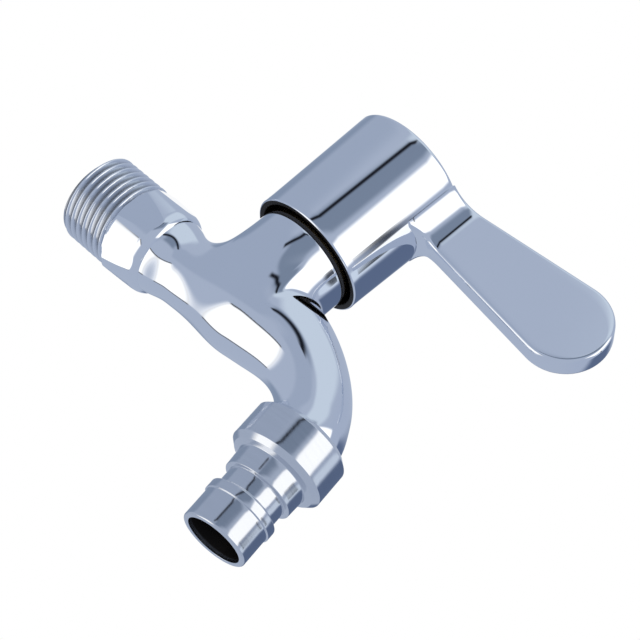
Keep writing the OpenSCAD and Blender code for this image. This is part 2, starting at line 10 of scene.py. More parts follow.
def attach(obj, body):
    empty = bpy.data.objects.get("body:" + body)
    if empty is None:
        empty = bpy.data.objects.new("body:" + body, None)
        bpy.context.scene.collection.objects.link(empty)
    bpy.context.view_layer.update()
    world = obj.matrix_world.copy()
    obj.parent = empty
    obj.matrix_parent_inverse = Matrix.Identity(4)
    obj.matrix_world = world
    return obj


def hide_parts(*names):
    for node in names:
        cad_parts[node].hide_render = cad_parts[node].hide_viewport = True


bl_info = {
    "name": "Wall-mounted tap",
    "version": (1, 0, 0),
    "blender": (4, 5, 0),
    "location": "3D View > Sidebar > Tap",
    "description": "Chrome skins, materials and studio for the wall-mounted tap",
    "category": "Object",
}

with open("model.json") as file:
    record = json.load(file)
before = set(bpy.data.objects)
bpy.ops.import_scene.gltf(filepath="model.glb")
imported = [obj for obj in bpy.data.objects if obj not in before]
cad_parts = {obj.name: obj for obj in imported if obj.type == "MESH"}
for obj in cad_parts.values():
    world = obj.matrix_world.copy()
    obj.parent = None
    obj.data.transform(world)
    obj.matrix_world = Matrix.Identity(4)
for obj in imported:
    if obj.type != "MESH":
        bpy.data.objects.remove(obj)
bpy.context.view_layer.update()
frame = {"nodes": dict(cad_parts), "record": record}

# Every length in the formulas below is in millimetres, as in the part's source
MM = 0.001
FIXED, TURNING = "tap_body", "turning_handle"
# Clearance of seated pieces, and the radius to which a ring shrinks where a surface closes
SEAT_FIT, POLE = 0.04, 0.01

# Inlet
THREAD_R, THREAD_LENGTH, THREAD_CHAMFER = 10.475, 13.0, 0.6
INLET_BORE_R, INLET_BORE_END, INLET_PASSAGE_R = 7.0, 6.0, 5.0
HEX_FLAT, HEX_CORNER, HEX_LENGTH, HEX_TAPER = 10.2, 11.0, 11.0, 0.6
SHOULDER_DROP, SHOULDER_ROUND, SHOULDER_SWEEP, SHOULDER_STEPS = 2.0, 3.0, 86, 22
HEX_COLUMNS, HEX_ROWS, HEX_SOFT = 480, 40, 0.05
# Chamfer at the hexagon's wall side: distance from its face, and radius beyond the thread's
HEX_CHAMFER, HEX_PLAIN = np.array([[0.0, -0.15], [0.12, -0.02], [0.5, 0.33]]), 0.8
# Thread: columns, rows to a pitch, turn at which it starts and distance at which it ends, then
# steepness of the flanks, share of rounding, painted shade in the roots, and how far the
# thread runs into the hexagon and opens at its mouth
THREAD_COLUMNS, THREAD_ROWS, THREAD_START, THREAD_END = 160, 22, 0.35, 0.01
FLANK_SLOPE, CREST_ROUND, ROOT_SHADE, THREAD_RUN_IN, THREAD_MOUTH = 2.7, 0.35, 0.65, 0.3, 0.5

# Valve axis and boss
VALVE_X, BOSS_R, BOSS_TOP, BOSS_SKIN_TOP = 31.5, 12.3, 19.5, 17.5
BOSS_RISE, BOSS_EDGE, BOSS_EDGE_STEPS = (0.6, 1.2), 0.25, 5
HEAD_BORE_R, HEAD_BORE_DEPTH, CHAMBER_R, SEAT_Z = 10.49, 9.6, 9.5, 6.3
HEAD_CHAMFER_W, HEAD_CHAMFER_H, PORT_R, PORT_FLOOR = 0.6, 0.3, 4.0, 1.0

# Nozzle axis, with heights counted from the tip
NOZZLE_LEAN, NOZZLE_LENGTH, COLLAR_LENGTH = 8.0, 28.5, 9.1
TIP = np.array([67.3, 0.0, -39.2])
AXIS_OUT = np.array([math.sin(math.radians(NOZZLE_LEAN)), 0.0,
                     -math.cos(math.radians(NOZZLE_LEAN))])
COLLAR_R, HOSE_R, RIB_R, GROOVE_R = 11.0, 7.6, 7.95, 6.85
COLLAR_BASE = NOZZLE_LENGTH - COLLAR_LENGTH
GROOVE_TOP = COLLAR_BASE - 5.9
GROOVE_BOTTOM = GROOVE_TOP - 4.3
RIB_HEIGHT, COLLAR_CHAMFER = 2.2, 1.1
NOZZLE_BORE_R, MOUTH_R, MOUTH_DEPTH, WASHER_FLOOR = 5.8, 6.35, 3.0, 20.32
SPIGOT_R, SPIGOT_END, PASSAGE_R = 9.0, 22.0, 4.5
SPOUT_BORE_R = PASSAGE_R + 1.3

# Centre line of the casting, steered by six points, and the diameters along it
BARREL_START = 8.5
LINE_POINTS = np.array([
    [BARREL_START, 0, 0],
    [BARREL_START + 13, 0, 0],
    [VALVE_X + 5.4, 0, -0.5],
    [VALVE_X + 2.3, 0, 8.5],
    TIP - (NOZZLE_LENGTH + 14) * AXIS_OUT,
    TIP - (NOZZLE_LENGTH - 1) * AXIS_OUT,
])
LINE_SHARES = np.array([0, 0.138, 0.45, 0.92, 1])
LINE_DIAMETERS = np.array([18.6, 16.0, 20.9, 15.9, 17.0])
# Steps by which directions are measured: share of the line, share on the skin, and degrees
LINE_STEP, SKIN_STEP, TURN_STEP = 0.001, 0.004, 1

# Rings of the skin, the patch that is left out of them for the boss, where it begins at the wall
# and ends in front as shares of the centre line, and how far its blend reaches
RING_SIDES, RING_COUNT, PATCH_FIRST, PATCH_LAST, PATCH_HALF, BOSS_ROWS = 40, 38, 6, 23, 10, 8
WALL_TOP, WALL_SIDE, FRONT_TOP, FRONT_SIDE = 0.09, 0.19, 0.625, 0.54
SIDE_BLEND, FRONT_BLEND, WALL_BLEND = 0.75, 0.9, 0.95
LEAST_LEVEL, MIDDLE_REACH = 0.02, 0.45
# Evening of the blend's seam: rounds, weight, reach in rings and over the rows of the boss, and
# where it fades towards the spout
SMOOTH_ROUNDS, SMOOTH_WEIGHT, SEAM_RINGS, SEAM_ROWS = 56, 0.5, 2.2, 1.15
CORNER_FROM, CORNER_WIDTH = 0.45, 0.35

# Rings of the water passages: distance from the wall or share of the centre line, and radius
INLET_PASSAGE = ((BARREL_START, INLET_PASSAGE_R), (20.0, INLET_PASSAGE_R),
                 (VALVE_X - 4.5, INLET_PASSAGE_R), (VALVE_X - 4.5, POLE))
SPOUT_PASSAGE = ((1.0, SPOUT_BORE_R), (0.97, PASSAGE_R), (0.9, PASSAGE_R), (0.8, PASSAGE_R),
                 (0.7, PASSAGE_R), (0.7, POLE))

# Bell and lever
RIM_Z, RIM_R, BELL_R, BELL_TOP, BELL_WALL, CAVITY_INSET = 20.6, 14.65, 15.45, 52.0, 1.5, 0.14
HUB_R, HUB_Z, HUB_ROOF, CAVITY_TOP, INSERT_R = 8.1, 34.14, 42.38, 46.5, 5.94
SCREW_SEAT, SCREW_HOLE_R, SCREW_RECESS_R = 43.98, 2.3, 4.7
PLUG_R, PLUG_Z, PLUG_H, PLUG_WALL, PLUG_HOLLOW, PLUG_CENTRE = 6.5, 49.2, 3.4, 1.2, 1.4, 0.02
PLUG_LOW = PLUG_Z + SEAT_FIT
LEVER_END, LEVER_END_R, LEVER_T, LEVER_EDGE = np.array([83.2, 44.9]), 10.3, 5.2, 0.9
UPPER_LEAN, LOWER_LEAN, SIDE_FILLET, ROOT_FILLET = 4.3, 8.4, 9.0, 3.0
FILLET_SINK, ROOT_SINK, ROOT_LIMIT = 0.006, 2.5, 0.98
FILLET_Y = LEVER_T / 2 + SIDE_FILLET
FILLET_STATIONS, PLAIN_STATIONS, END_STATIONS, EDGE_STEPS, FACE_ROWS = 7, 3, 9, 7, 10
LEVER_DETAIL = 5

# Turned pieces: corners of the closed profile as radius, height and rounding
SPIGOT_PROFILE = (
    (SPOUT_BORE_R, NOZZLE_LENGTH - 1.2), (SPOUT_BORE_R, SPIGOT_END, 0.2),
    (SPIGOT_R, SPIGOT_END, 0.3), (SPIGOT_R, NOZZLE_LENGTH, 0.1),
)
BELL_PROFILE = (
    (RIM_R, RIM_Z, 0.35), (BELL_R, BELL_TOP, 0.9), (PLUG_R + SEAT_FIT, BELL_TOP, 0.15),
    (PLUG_R + SEAT_FIT, PLUG_Z), (SCREW_RECESS_R, PLUG_Z), (SCREW_RECESS_R, SCREW_SEAT),
    (SCREW_HOLE_R, SCREW_SEAT), (SCREW_HOLE_R, HUB_ROOF), (INSERT_R, HUB_ROOF),
    (INSERT_R, HUB_Z), (HUB_R, HUB_Z, 0.3), (HUB_R, CAVITY_TOP, 0.8),
    (BELL_R - BELL_WALL - CAVITY_INSET, CAVITY_TOP, 0.8), (RIM_R - BELL_WALL, RIM_Z, 0.3),
)
PLUG_PROFILE = (
    (PLUG_CENTRE, PLUG_LOW + PLUG_HOLLOW), (PLUG_R - PLUG_WALL, PLUG_LOW + PLUG_HOLLOW),
    (PLUG_R - PLUG_WALL, PLUG_LOW), (PLUG_R, PLUG_LOW), (PLUG_R, PLUG_LOW + PLUG_H - 0.9, 0.5),
    (PLUG_R - 0.6, PLUG_LOW + PLUG_H - 0.5, 0.8), (PLUG_CENTRE, PLUG_LOW + PLUG_H),
)
NOZZLE_PROFILE = (
    (MOUTH_R, 0, 0.1), (HOSE_R, 0, 0.4), (HOSE_R, GROOVE_BOTTOM - RIB_HEIGHT, 0.1),
    (RIB_R, GROOVE_BOTTOM - RIB_HEIGHT + 0.1, 0.12), (RIB_R, GROOVE_BOTTOM, 0.3),
    (GROOVE_R, GROOVE_BOTTOM + 0.5, 0.25), (GROOVE_R, GROOVE_TOP, 0.12),
    (RIB_R, GROOVE_TOP, 0.2), (RIB_R + 0.25, COLLAR_BASE - 1.2, 0.2),
    (COLLAR_R - 1.2, COLLAR_BASE - 0.9, 0.15), (COLLAR_R, COLLAR_BASE + 0.2, 0.2),
    (COLLAR_R, NOZZLE_LENGTH - COLLAR_CHAMFER, 0.2),
    (COLLAR_R - COLLAR_CHAMFER, NOZZLE_LENGTH, 0.15), (SPIGOT_R + SEAT_FIT, NOZZLE_LENGTH, 0.1),
    (SPIGOT_R + SEAT_FIT, WASHER_FLOOR), (NOZZLE_BORE_R, WASHER_FLOOR),
    (NOZZLE_BORE_R, MOUTH_DEPTH), (MOUTH_R, MOUTH_DEPTH),
)
BELL_COLUMNS, BELL_ARCS, NOZZLE_COLUMNS, NOZZLE_LONGEST, SMALL_COLUMNS = 256, 8, 224, 1.0, 128
# Where the painted shade inside begins: under the bell's skin and below its top, and in the
# nozzle past the mouth's radius and up from the tip
SHADE_UNDER_SKIN, SHADE_UNDER_TOP, SHADE_BORE_MARGIN, SHADE_FROM_TIP = 0.33, 0.5, 0.05, 0.6
# Angles in degrees above which an edge stays sharp
CAST_SHARP, THREAD_SHARP, TURNED_SHARP, SPIGOT_SHARP = 50, 60, 40, 32

# Scale of the patterns in features per metre, and depth of their relief in metres
HAZE_SCALE, RIPPLE_SCALE, STREAK_SCALE = 90, 55, 1100
MARK_SCALE, GRAIN_SCALE, FLOOR_SCALE = 700, 1400, 30
STREAK_SQUEEZE, STREAK_DEPTH, MARK_DEPTH, CAST_RIPPLE, HANDLE_RIPPLE = 0.03, 4e-6, 2e-5, 1e-5, 6e-6
# Lowest and highest share of a colour and of a roughness in each kind of finish
CHROME_TINT, CHROME_HAZE = (0.985, 1.01), (0.7, 1.3)
TURNED_TINT, TURNED_HAZE = (0.93, 1.03), (0.6, 1.5)
METAL_TINT, METAL_HAZE = (0.9, 1.05), (0.7, 1.3)
MOULDED_TINT, MOULDED_HAZE = (0.9, 1.08), (0.85, 1.15)
FLOOR_TINT, FLOOR_ROUGHNESS, SHADED_ROUGHNESS, THREAD_HAZE = (0.99, 1.01), 0.9, 0.6, 0.6

# Camera at the photographed angle, floor, world and lamp, in metres
CAMERA_PLACE = Vector((0.208221, -0.316878, -0.126365))
CAMERA_TURN = Quaternion((0.442207, 0.808329, -0.163011, 0.352824))
SENSOR_WIDTH, LENS, CLIP_START, CLIP_END = 36.0, 102.9375, 0.01, 20.0
FLOOR_REACH, WORLD_SOFT, WORLD_WHITE = 6.0, (0.62, 0.66, 0.74, 1), (1, 1, 1, 1)
LAMP_PLACE, LAMP_AIM, LAMP_SIDE, LAMP_POWER = (1.5, -1.5, 2.0), Vector((0.03, 0, 0)), 2.0, 50.0

# Studio tent round the tap: its cloth, and the cloth to the right, which starts where the
# direction to the right less a share of the direction up passes a value, and fades in
TENT_CENTRE, TENT_R, TENT_ROWS, TENT_COLUMNS = (0.035, 0.0, 0.01), 1.6, 180, 360
TENT_CLOTH, TENT_SIDE = (0.42, 0.48, 0.60), (0.40, 0.46, 0.59)
SIDE_TILT, SIDE_FROM, SIDE_FADE = 0.5, 0.35, 0.6
CARD_WHITE, CARD_BLACK = (1.25, 1.25, 1.25), (0.008, 0.009, 0.014)
# Cards on the tent: angle to the camera's right, angle up, width, height, turn, and soft edge of
# the sides and of the ends, all in degrees, then light
TENT_CARDS = (
    ((78, 55, 60, 40, 0, 14, 14), (0.60, 0.68, 0.78)),
    ((20, 43, 40, 22, -25, 14, 12), (0.20, 0.25, 0.34)),
    ((-80, 62, 90, 40, 0, 15, 15), (0.36, 0.42, 0.54)),
    ((-150, 15, 40, 60, 0, 20, 20), (0.25, 0.31, 0.42)),
    ((145, -27, 70, 36, 0, 18, 18), (0.11, 0.15, 0.25)),
    ((91, -26, 18, 20, 0, 8, 8), (0.64, 0.72, 0.84)),
    ((180, 4, 20, 26, 0, 6, 6), (1.0, 1.0, 1.0)),
    ((57, 2, 42, 46, -28, 9, 7), CARD_WHITE),
    ((82, -22, 1.6, 30, 60, 1.2, 1.2), CARD_BLACK),
    ((10, 53, 24, 4.5, 0, 3.5, 4), CARD_BLACK),
    ((-66, -9, 28, 71, -55, 1.5, 1.5), CARD_BLACK),
    ((-66, -9, 30, 66, -55, 14, 6), CARD_WHITE),
)


# ---------------- shapes as arrays

def mix(a, b, t):
    """A value between a and b at share t."""
    return a + (b - a) * t


def ease(t):
    """A step from 0 to 1, flat at both ends in slope and curvature: 6 t^5 - 15 t^4 + 10 t^3."""
    c = np.clip(t, 0, 1)
    return c * c * c * (c * (6 * c - 15) + 10)


def unit(v):
    """Vectors along the last axis, made one long."""
    return v / np.maximum(np.linalg.norm(v, axis=-1, keepdims=True), 1e-12)


def line_at(u):
    """Centre of the casting at share u: repeated mixing of the six steering points."""
    points, t = list(LINE_POINTS), np.asarray(u, float)[..., None]
    while len(points) > 1:
        points = [mix(a, b, t) for a, b in zip(points, points[1:])]
    return points[0] + 0 * t


def direction_at(u):
    """Direction of the centre line, from two points close together on it."""
    return unit(line_at(u + LINE_STEP) - line_at(u - LINE_STEP))


def radius_at(u):
    """Radius of the casting: eased steps between the diameters at shoulder, neck, belly, waist
    and end."""
    k = np.clip(np.searchsorted(LINE_SHARES, u, side="right") - 1, 0, len(LINE_SHARES) - 2)
    t = (u - LINE_SHARES[k]) / (LINE_SHARES[k + 1] - LINE_SHARES[k])
    return mix(LINE_DIAMETERS[k], LINE_DIAMETERS[k + 1], ease(t)) / 2


def round_point(u, a, r):
    """Point at angle a from the upper side and radius r round the centre line at share u."""
    d = direction_at(u)
    up = np.stack([-d[..., 2], 0 * d[..., 0], d[..., 0]], -1)
    side = np.array([0.0, 1.0, 0.0])
    r = np.asarray(r)[..., None] if np.ndim(r) else r
    return line_at(u) + r * (np.cos(a)[..., None] * up + np.sin(a)[..., None] * side)


def skin_point(u, a):
    """Point of the cast tube before the boss is blended on."""
    return round_point(u, a, radius_at(u))


def skin_normal(u, a):
    """Outward direction of the cast tube, from the cross product of two short steps on it."""
    step = math.radians(TURN_STEP)
    return unit(np.cross(skin_point(u, a + step) - skin_point(u, a - step),
                         skin_point(u + SKIN_STEP, a) - skin_point(u - SKIN_STEP, a)))


def ring_share(i, a):
    """Share of the centre line at ring i and angle a: the rings bend so that two of them follow
    the patch border."""
    lift = np.maximum(0, np.cos(a))
    wall, front = mix(WALL_SIDE, WALL_TOP, lift), mix(FRONT_SIDE, FRONT_TOP, lift)
    before = wall * i / PATCH_FIRST
    inside = mix(wall, front, (i - PATCH_FIRST) / (PATCH_LAST - PATCH_FIRST))
    after = mix(front, 1.0, (i - PATCH_LAST) / (RING_COUNT - PATCH_LAST))
    return np.where(i <= PATCH_FIRST, before, np.where(i <= PATCH_LAST, inside, after))


def boss_rows(u, a, rows):
    """Cubic curves from the patch border up to the boss, tangent to the tube's skin and to the
    boss wall: (1-t)^3 low + 3 (1-t)^2 t first + 3 (1-t) t^2 second + t^3 high."""
    low, out = skin_point(u, a), skin_normal(u, a)
    turn = np.arctan2(low[:, 1], low[:, 0] - VALVE_X)
    high = np.stack([VALVE_X + BOSS_R * np.cos(turn), BOSS_R * np.sin(turn),
                     0 * turn + BOSS_SKIN_TOP], -1)
    way = high - low
    flat = unit(way - (way * out).sum(-1, keepdims=True) * out)
    level = np.maximum(LEAST_LEVEL, np.linalg.norm(flat[:, :2], axis=-1))
    to_corner = np.linalg.norm(way[:, :2], axis=-1) / level
    to_middle = MIDDLE_REACH * np.linalg.norm(way, axis=-1)
    # The shorter of the two lengths, with a soft change between them
    reach = (to_corner ** -4 + to_middle ** -4) ** -0.25
    share = mix(mix(SIDE_BLEND, FRONT_BLEND, ease(np.cos(turn))), WALL_BLEND,
                ease(-np.cos(turn)))
    drop = share * (way[:, 2] - reach * flat[:, 2])
    first = low + (share * reach)[:, None] * flat
    second = high - np.stack([0 * drop, 0 * drop, drop], -1)
    t = (np.arange(1, rows + 1) / rows)[:, None, None]
    return ((1 - t) ** 3 * low + 3 * (1 - t) ** 2 * t * first + 3 * (1 - t) * t * t * second
            + t ** 3 * high)


def rounded(corners, steps=6):
    """A closed profile of (radius, height, rounding) corners: each becomes an arc that is tangent
    to both sides, unless it is nearly straight."""
    p = np.array([c[:2] for c in corners], float)
    r = np.array([c[2] if len(c) > 2 else 0.0 for c in corners])
    before, after = unit(np.roll(p, 1, 0) - p), unit(np.roll(p, -1, 0) - p)
    half = np.arccos(np.clip((before * after).sum(-1), -1, 1)) / 2
    cut = np.where(r > 0, r / np.maximum(np.tan(half), 1e-6), 0)
    nearly_straight = 1.55
    line = []
    for k in range(len(p)):
        if r[k] <= 0 or half[k] > nearly_straight:
            line.append(p[k:k + 1])
            continue
        centre = p[k] + unit(before[k] + after[k]) * r[k] / math.sin(half[k])
        start, end = p[k] + before[k] * cut[k] - centre, p[k] + after[k] * cut[k] - centre
        a0 = math.atan2(start[1], start[0])
        sweep = (math.atan2(end[1], end[0]) - a0 + math.pi) % (2 * math.pi) - math.pi
        a = a0 + sweep * np.linspace(0, 1, steps + 1)
        line.append(centre + r[k] * np.stack([np.cos(a), np.sin(a)], -1))
    return np.concatenate(line)


def divided(profile, longest):
    """The same closed profile with extra points, so that no side is longer than a length."""
    after = np.roll(profile, -1, 0)
    sides = np.linalg.norm(after - profile, axis=-1)
    count = np.maximum(1, np.ceil(sides / longest).astype(int))
    return np.concatenate([mix(a, b, np.arange(n)[:, None] / n)
                           for a, b, n in zip(profile, after, count)])


def full_turn(columns):
    """Angles of the columns of a surface that closes on itself."""
    return 2 * np.pi * np.arange(columns) / columns


def turned(profile, columns):
    """A closed profile of (radius, height) carried round the Z axis: (r cos a, r sin a, h)."""
    a = full_turn(columns)
    r, h = profile[:, :1], profile[:, 1:]
    return np.stack([r * np.cos(a), r * np.sin(a), h + 0 * a], -1)


def round_inlet(x, r, a):
    """Points at distance x from the wall, radius r round the inlet axis and angle a from its upper
    side: (x, r sin a, r cos a)."""
    return np.stack([x + 0 * a, r * np.sin(a), r * np.cos(a)], -1)


def inlet_rings(stations, a):
    """A ring of points round the inlet axis for each (distance from the wall, radius)."""
    return np.stack([round_inlet(x, r, a) for x, r in stations])


def on_nozzle(points):
    """Points made on the Z axis, placed on the nozzle's axis with height 0 at the tip."""
    up = -AXIS_OUT
    out = np.array([up[2], 0, -up[0]])
    return (TIP + points[..., :1] * out + points[..., 1:2] * np.array([0, 1, 0])
            + points[..., 2:] * up)


def on_valve(points):
    """Points made on the Z axis, moved to the valve axis."""
    return points + np.array([VALVE_X, 0, 0])


def grid_faces(rows, columns, close_rows=False):
    """Four-sided faces of a grid whose columns close on themselves, and its rows too if asked."""
    r = np.arange(rows if close_rows else rows - 1)[:, None]
    k = np.arange(columns)[None, :]
    a, b = r * columns + k, r * columns + (k + 1) % columns
    c, d = ((r + 1) % rows) * columns + (k + 1) % columns, ((r + 1) % rows) * columns + k
    return np.stack(np.broadcast_arrays(a, b, c, d), -1).reshape(-1, 4)


def lathe(name, profile, place, columns, longest=2.0, shade_where=None):
    """A closed ring: the profile, seen with the axis on the left, runs anticlockwise and is turned
    round the axis. The last function says from radius and height which points get painted shade."""
    profile = divided(profile, longest)
    rows = turned(profile, columns)
    piece = make_mesh(name, place(rows).reshape(-1, 3), grid_faces(len(rows), columns, True))
    # Points inside the hollows get a nearly black painted shade
    if shade_where:
        set_painted_shade(piece, np.repeat(shade_where(profile[:, 0], profile[:, 1]), columns))
    return piece


def smoothed(points, quads, weight, rounds):
    """Each point moves towards the middle of its neighbours by its weight, again and again."""
    edges = np.concatenate([quads[:, [k, (k + 1) % 4]] for k in range(4)])
    edges = np.concatenate([edges, edges[:, ::-1]])
    count = np.bincount(edges[:, 0], minlength=len(points)).astype(float)
    for _ in range(rounds):
        total = np.stack([np.bincount(edges[:, 0], points[edges[:, 1], k], len(points))
                          for k in range(3)], -1)
        points = points + weight[:, None] * (total / count[:, None] - points)
    return points


def make_mesh(name, points, faces, polygons=()):
    """A smooth-shaded object at the origin, from points in millimetres and faces that run
    anticlockwise seen from outside."""
    mesh = bpy.data.meshes.new(name)
    loops = np.asarray(faces).tolist() + [list(polygon) for polygon in polygons]
    mesh.from_pydata((np.asarray(points) * MM).tolist(), [], loops)
    mesh.validate()
    mesh.polygons.foreach_set("use_smooth", np.ones(len(mesh.polygons), bool))
    piece = bpy.data.objects.new(name, mesh)
    bpy.context.scene.collection.objects.link(piece)
    return piece


def set_painted_shade(piece, share):
    """Keeps on each point how much painted shade it has, from 0 to 1."""
    painted_shade = piece.data.attributes.new("painted_shade", "FLOAT", "POINT")
    painted_shade.data.foreach_set("value", share.astype(np.float32))


def soften_by_angle(piece, degrees):
    """Marks edges that turn more than the angle as sharp, so that flats stay flat beside them."""
    with bpy.context.temp_override(object=piece, active_object=piece,
                                   selected_editable_objects=[piece]):
        bpy.ops.object.shade_smooth_by_angle(angle=math.radians(degrees))


# ---------------- pieces

def cast_body_mesh(detail):
    """The casting as one closed skin: rings round the centre line without the patch, the rows that
    rise to the boss, the boss face with the headwork's bore, and the passages at both ends."""
    sides, rings, half = RING_SIDES * detail, RING_COUNT * detail, PATCH_HALF * detail
    first, last = PATCH_FIRST * detail, PATCH_LAST * detail
    i, j = np.meshgrid(np.arange(rings + 1), np.arange(sides), indexing="ij")

    def signed(side):
        return (side + sides // 2) % sides - sides // 2

    def index(row, side):
        return row * sides + side % sides

    angle = 2 * np.pi * signed(j) / sides
    tube = skin_point(ring_share(i / detail, angle), angle)
    points, faces, total = [tube.reshape(-1, 3)], [], tube.shape[0] * sides

    r, k = np.meshgrid(np.arange(rings), np.arange(sides), indexing="ij")
    kept = ~((r >= first) & (r < last) & (signed(k) >= -half) & (signed(k) < half))
    r, k = r[kept], k[kept]
    faces.append(np.stack([index(r, k), index(r + 1, k), index(r + 1, k + 1), index(r, k + 1)], -1))

    ring = np.concatenate([np.full(2 * half, first), np.arange(first, last),
                           np.full(2 * half, last), np.arange(last, first, -1)])
    side = np.concatenate([np.arange(-half, half), np.full(last - first, half),
                           np.arange(half, -half, -1), np.full(last - first, -half)])
    border = index(ring, side)
    a = 2 * np.pi * side / sides
    rise = boss_rows(ring_share(ring / detail, a), a, BOSS_ROWS * detail)
    around = unit(rise[-1][:, :2] - np.array([VALVE_X, 0]))

    def level(radius, height):
        return np.concatenate([around * radius + np.array([VALVE_X, 0]),
                               np.full((len(around), 1), height)], -1)

    turns = np.linspace(0, np.pi / 2, BOSS_EDGE_STEPS)
    bore_end = BOSS_TOP - HEAD_BORE_DEPTH
    upper = [level(BOSS_R, BOSS_SKIN_TOP + height) for height in BOSS_RISE]
    upper += [level(BOSS_R - BOSS_EDGE + BOSS_EDGE * math.cos(t),
                    BOSS_TOP - BOSS_EDGE + BOSS_EDGE * math.sin(t)) for t in turns]
    upper += [level(*ring) for ring in (
        (HEAD_BORE_R + HEAD_CHAMFER_W, BOSS_TOP), (HEAD_BORE_R, BOSS_TOP - HEAD_CHAMFER_H),
        (HEAD_BORE_R, bore_end), (CHAMBER_R, bore_end), (CHAMBER_R, SEAT_Z), (PORT_R, SEAT_Z),
        (PORT_R, PORT_FLOOR), (POLE, PORT_FLOOR))]
    column = np.concatenate([rise, np.stack(upper)])
    width = len(border)
    rows = total + np.arange(len(column) * width).reshape(-1, width)
    loops = np.concatenate([border[None], rows])
    nxt = np.roll(loops, -1, 1)
    faces.append(np.stack([loops[:-1], loops[1:], nxt[1:], nxt[:-1]], -1).reshape(-1, 4))
    points.append(column.reshape(-1, 3))
    total += column.shape[0] * width

    # Passages: rings that go back inside the casting from each end of the tube
    theta = angle[0]
    inlet = inlet_rings(INLET_PASSAGE, theta)
    spout = np.stack([round_point(0 * theta + u, theta, r) for u, r in SPOUT_PASSAGE])
    for passage, at, flip in ((inlet, 0, True), (spout, rings, False)):
        rows = total + np.arange(len(passage) * sides).reshape(-1, sides)
        loops = np.concatenate([index(at, np.arange(sides))[None], rows])
        nxt = np.roll(loops, -1, 1)
        order = [loops[:-1], nxt[:-1], nxt[1:], loops[1:]]
        faces.append(np.stack(order if flip else order[::-1], -1).reshape(-1, 4))
        points.append(passage.reshape(-1, 3))
        total += passage.shape[0] * sides

    points, faces = np.concatenate(points), np.concatenate(faces)
    # The seam of the blend is evened out: fully at the patch border, not at all a few rings away
    weight = np.zeros(len(points))
    start = tube.shape[0] * sides
    far_i = np.maximum(0, np.maximum(first - i, i - last)) / detail
    far_j = np.maximum(0, np.abs(signed(j)) - half) / detail
    weight[:start] = (1 - ease(np.hypot(far_i, far_j) / SEAM_RINGS)).ravel()
    rows_weight = 1 - ease(np.linspace(0, SEAM_ROWS, BOSS_ROWS * detail))
    weight[start:start + BOSS_ROWS * detail * width] = np.repeat(rows_weight, width)
    # In front the tube meets the boss in a tight corner, which is kept
    out_x = points[:, 0] - VALVE_X
    toward_spout = out_x / np.maximum(np.hypot(out_x, points[:, 1]), 1e-6)
    weight = weight * (1 - ease((toward_spout - CORNER_FROM) / CORNER_WIDTH))
    return smoothed(points, faces, SMOOTH_WEIGHT * weight, SMOOTH_ROUNDS), faces


def hexagon_mesh():
    """The spanner hexagon: at each row the smaller of the turned radius and the flats' distance
    divided by the cosine of the angle from the middle of the flat, blended over a narrow band so
    that the polished edges are slightly soft."""
    arc = np.radians(np.linspace(0, SHOULDER_SWEEP, SHOULDER_STEPS))
    shoulder = HEX_LENGTH - SHOULDER_ROUND
    x = np.concatenate([HEX_CHAMFER[:, 0], np.linspace(HEX_PLAIN, shoulder, HEX_ROWS)[:-1],
                        HEX_LENGTH - SHOULDER_ROUND * (1 - np.sin(arc))])
    r = np.concatenate([THREAD_R + HEX_CHAMFER[:, 1],
                        mix(HEX_CORNER, HEX_CORNER - HEX_TAPER, np.linspace(0, 1, HEX_ROWS)[:-1]),
                        HEX_CORNER - HEX_TAPER - SHOULDER_DROP * (1 - np.cos(arc))])
    a = full_turn(HEX_COLUMNS)
    flat = HEX_FLAT / np.cos((a % (np.pi / 3)) - np.pi / 6)
    gap = np.clip(0.5 + 0.5 * (r[:, None] - flat) / HEX_SOFT, 0, 1)
    radius = mix(r[:, None], flat, gap) - HEX_SOFT * gap * (1 - gap)
    outer = round_inlet(x[:, None], radius, a)
    inner = inlet_rings(((HEX_LENGTH - POLE, INLET_PASSAGE_R), (INLET_BORE_END, INLET_PASSAGE_R),
                         (INLET_BORE_END, INLET_BORE_R), (0.0, INLET_BORE_R)), a)
    rows = np.concatenate([outer, inner])
    return rows.reshape(-1, 3), grid_faces(len(rows), HEX_COLUMNS, True)[:, ::-1]


def thread_mesh(pitch, depth):
    """The inlet thread: the radius at distance x and turn a is a rounded 55 degree ridge of
    x / pitch + a / one turn, cut down by the chamfer at the free end. The last value is how much
    painted shade each point has: some in the roots of the thread, and full shade in the bore."""
    x = np.arange(-THREAD_LENGTH, THREAD_END, pitch / THREAD_ROWS)
    a = full_turn(THREAD_COLUMNS)
    phase = (x[:, None] / pitch + a / (2 * np.pi) + THREAD_START) % 1
    slope = np.abs(2 * phase - 1)
    ridge = 0.5 - 0.5 * np.clip((0.5 - slope) * FLANK_SLOPE, -1, 1)
    ridge = ridge * ridge * (3 - 2 * ridge) * CREST_ROUND + ridge * (1 - CREST_ROUND)
    chamfer = THREAD_R - THREAD_CHAMFER + (x + THREAD_LENGTH)
    radius = np.minimum(THREAD_R - depth * ridge, chamfer[:, None])
    outer = round_inlet(x[:, None], radius, a)
    inner = inlet_rings(((THREAD_RUN_IN, THREAD_R - depth), (THREAD_RUN_IN, INLET_BORE_R),
                         (-THREAD_LENGTH + THREAD_MOUTH, INLET_BORE_R),
                         (-THREAD_LENGTH, INLET_BORE_R + THREAD_MOUTH)), a)
    rows = np.concatenate([outer, inner])
    # Painted shade: darker towards the deep roots of the thread, and fully dark in the bore
    thread_shade = np.concatenate([ROOT_SHADE * ridge ** 2, np.ones((len(inner), THREAD_COLUMNS))])
    return rows.reshape(-1, 3), grid_faces(len(rows), THREAD_COLUMNS, True)[:, ::-1], thread_shade.ravel()


def bell_r(z):
    """Radius of the bell at a height, straight from the rim to the top."""
    return mix(RIM_R, BELL_R, (z - RIM_Z) / (BELL_TOP - RIM_Z))


def inside_bell(r, z):
    """Whether a point of the bell's profile is on its inside, which gets painted shade."""
    return (r < bell_r(z) - SHADE_UNDER_SKIN) & (z < BELL_TOP - SHADE_UNDER_TOP)


